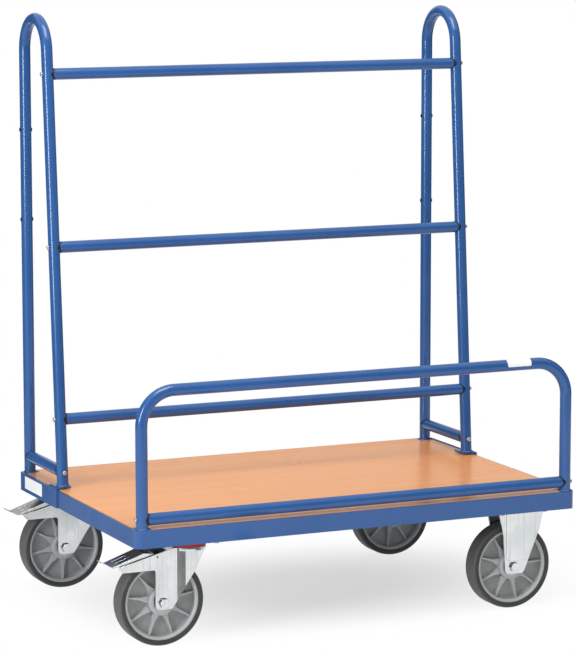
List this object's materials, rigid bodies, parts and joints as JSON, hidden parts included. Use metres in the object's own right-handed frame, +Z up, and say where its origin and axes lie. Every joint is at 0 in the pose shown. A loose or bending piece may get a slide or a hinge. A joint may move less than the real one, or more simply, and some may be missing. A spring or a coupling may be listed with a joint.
{
  "type": "sheet material trolley",
  "caption": "Four-wheeled platform trolley with a leaning tube rack along one side and a low front hoop, for moving boards on edge; two castors swivel and lock by pedal.",
  "frame": {"origin": "floor level, under the middle of the whole trolley's plan", "axes": "+X along the trolley from the swivel castors to the fixed ones, +Y from the low front hoop to the tall rack, +Z up"},
  "size_m": [1.162, 0.768, 1.376],
  "materials": {
    "blue_paint": "satin powder coat",
    "beech_board": "beech pattern laminate",
    "zinc_steel": "bright zinc plate",
    "zinc_fastener": "zinc plate",
    "bearing_steel": "ground steel",
    "tyre_rubber": "solid rubber",
    "grey_rim": "moulded grey",
    "black_plastic": "moulded black",
    "red_plastic": "moulded red",
    "brake_rubber": "moulded rubber"
  },
  "bodies": {
    "chassis": {"castor_bolts": "zinc_fastener", "deck_board": "beech_board", "deck_screws": "zinc_fastener", "front_hoop": "blue_paint", "front_left_king_pin": "zinc_steel", "front_left_top_plate": "zinc_steel", "front_rail": "blue_paint", "front_right_axle": "zinc_steel", "front_right_fork": "zinc_steel", "hole_plugs": "black_plastic", "hoop_lower_rail": "blue_paint", "left_bearer": "blue_paint", "left_foot_bracket": "blue_paint", "left_rail": "blue_paint", "left_spreader": "blue_paint", "left_upright": "blue_paint", "lower_cross_rail": "blue_paint", "middle_bearer": "blue_paint", "middle_cross_rail": "blue_paint", "rail_saddles": "black_plastic", "rail_screws": "zinc_fastener", "rear_left_king_pin": "zinc_steel", "rear_left_top_plate": "zinc_steel", "rear_rail": "blue_paint", "rear_right_axle": "zinc_steel", "rear_right_fork": "zinc_steel", "right_bearer": "blue_paint", "right_foot_bracket": "blue_paint", "right_rail": "blue_paint", "right_spreader": "blue_paint", "right_upright": "blue_paint", "top_cross_rail": "blue_paint"},
    "front_left_swivel": {"front_left_axle": "zinc_steel", "front_left_dust_ring": "red_plastic", "front_left_fork": "zinc_steel", "front_left_pedal_pin": "zinc_steel"},
    "front_left_wheel": {"front_left_bearings": "bearing_steel", "front_left_rim": "grey_rim", "front_left_tyre": "tyre_rubber"},
    "front_left_pedal": {"front_left_brake_pedal": "zinc_steel", "front_left_brake_shoe": "brake_rubber"},
    "rear_left_swivel": {"rear_left_axle": "zinc_steel", "rear_left_dust_ring": "red_plastic", "rear_left_fork": "zinc_steel", "rear_left_pedal_pin": "zinc_steel"},
    "rear_left_wheel": {"rear_left_bearings": "bearing_steel", "rear_left_rim": "grey_rim", "rear_left_tyre": "tyre_rubber"},
    "rear_left_pedal": {"rear_left_brake_pedal": "zinc_steel", "rear_left_brake_shoe": "brake_rubber"},
    "front_right_wheel": {"front_right_bearings": "bearing_steel", "front_right_rim": "grey_rim", "front_right_tyre": "tyre_rubber"},
    "rear_right_wheel": {"rear_right_bearings": "bearing_steel", "rear_right_rim": "grey_rim", "rear_right_tyre": "tyre_rubber"}
  },
  "joints": [
    {"name": "front_left_swivel_turn", "type": "hinge", "parent": "chassis", "child": "front_left_swivel", "pos_m": [-0.373, -0.315, 0.2], "axis": [0, 0, 1], "continuous": true},
    {"name": "front_left_wheel_spin", "type": "hinge", "parent": "front_left_swivel", "child": "front_left_wheel", "pos_m": [-0.441, -0.315, 0.1], "axis": [0, 1, 0], "continuous": true},
    {"name": "front_left_pedal_press", "type": "hinge", "parent": "front_left_swivel", "child": "front_left_pedal", "pos_m": [-0.455, -0.315, 0.205], "axis": [0, -1, 0], "range_deg": [0, 10]},
    {"name": "rear_left_swivel_turn", "type": "hinge", "parent": "chassis", "child": "rear_left_swivel", "pos_m": [-0.373, 0.315, 0.2], "axis": [0, 0, 1], "continuous": true},
    {"name": "rear_left_wheel_spin", "type": "hinge", "parent": "rear_left_swivel", "child": "rear_left_wheel", "pos_m": [-0.441, 0.315, 0.1], "axis": [0, 1, 0], "continuous": true},
    {"name": "rear_left_pedal_press", "type": "hinge", "parent": "rear_left_swivel", "child": "rear_left_pedal", "pos_m": [-0.455, 0.315, 0.205], "axis": [0, -1, 0], "range_deg": [0, 10]},
    {"name": "front_right_wheel_spin", "type": "hinge", "parent": "chassis", "child": "front_right_wheel", "pos_m": [0.436, -0.315, 0.1], "axis": [0, 1, 0], "continuous": true},
    {"name": "rear_right_wheel_spin", "type": "hinge", "parent": "chassis", "child": "rear_right_wheel", "pos_m": [0.436, 0.315, 0.1], "axis": [0, 1, 0], "continuous": true}
  ]
}
